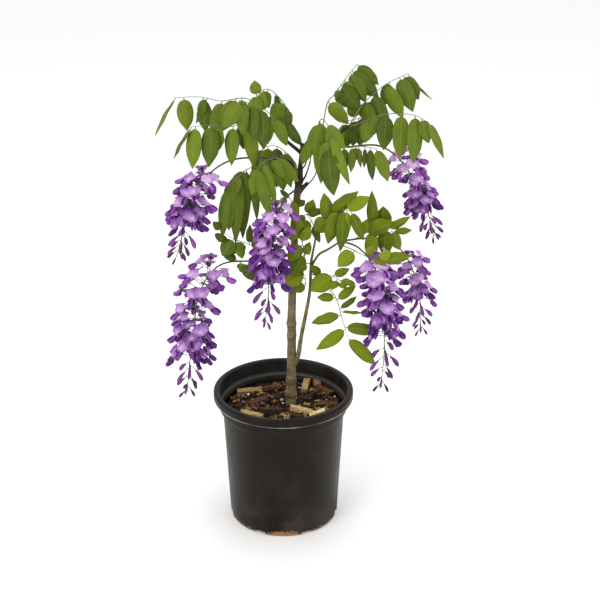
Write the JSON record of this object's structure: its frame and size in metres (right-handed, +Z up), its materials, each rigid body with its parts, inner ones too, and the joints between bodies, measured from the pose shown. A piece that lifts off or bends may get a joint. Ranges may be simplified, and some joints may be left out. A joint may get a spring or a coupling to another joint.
{
  "type": "potted wisteria plant",
  "caption": "Young wisteria trained as a small standard in a round nursery pot, with compound leaves, hanging flower racemes and bark mulch.",
  "frame": {"origin": "centre of the pot's underside, on the surface the pot stands on", "axes": "+Z up along the trunk; -Y towards the front, where the centre raceme hangs; +X to the right seen from the front"},
  "size_m": [0.4683, 0.236, 0.7763],
  "materials": {
    "pot_plastic": "blow-moulded black plastic, satin, a little dusty",
    "soil": "damp dark potting mix",
    "mulch": "coarse bark chips",
    "bark": "thin grey-brown bark with raised nodes",
    "leaf_green": "smooth leaf, satin",
    "leaf_young": "young leaf, satin and yellower",
    "petals": "lavender and violet petals, soft matt"
  },
  "bodies": {
    "root": {"pot": "pot_plastic", "potting_soil": "soil", "bark_mulch": "mulch", "woody_stems": "bark", "leaf_far_left": "leaf_green", "leaf_left_low": "leaf_green", "leaf_top_left": "leaf_green", "leaf_left_front": "leaf_green", "leaf_left_drooping": "leaf_green", "leaf_front_long": "leaf_green", "leaf_trunk_front": "leaf_green", "leaf_back_left": "leaf_green", "leaf_low_left": "leaf_green", "leaf_low_front": "leaf_green", "leaf_small_shoot": "leaf_green", "leaf_top_right": "leaf_green", "leaf_far_right": "leaf_green", "leaf_right_second": "leaf_green", "leaf_right_front": "leaf_green", "leaf_right_short": "leaf_green", "leaf_back_right": "leaf_green", "leaf_young_upper": "leaf_young", "leaf_young_right": "leaf_young", "leaf_young_tip": "leaf_young", "leaf_young_left": "leaf_young", "leaf_young_side": "leaf_young", "leaf_mid_right": "leaf_young", "leaf_mid_left": "leaf_young", "leaf_low_right": "leaf_young", "raceme_left_upper": "petals", "raceme_left_lower": "petals", "raceme_centre": "petals", "raceme_right_upper": "petals", "raceme_right_front": "petals", "raceme_right_back": "petals"}
  },
  "joints": []
}
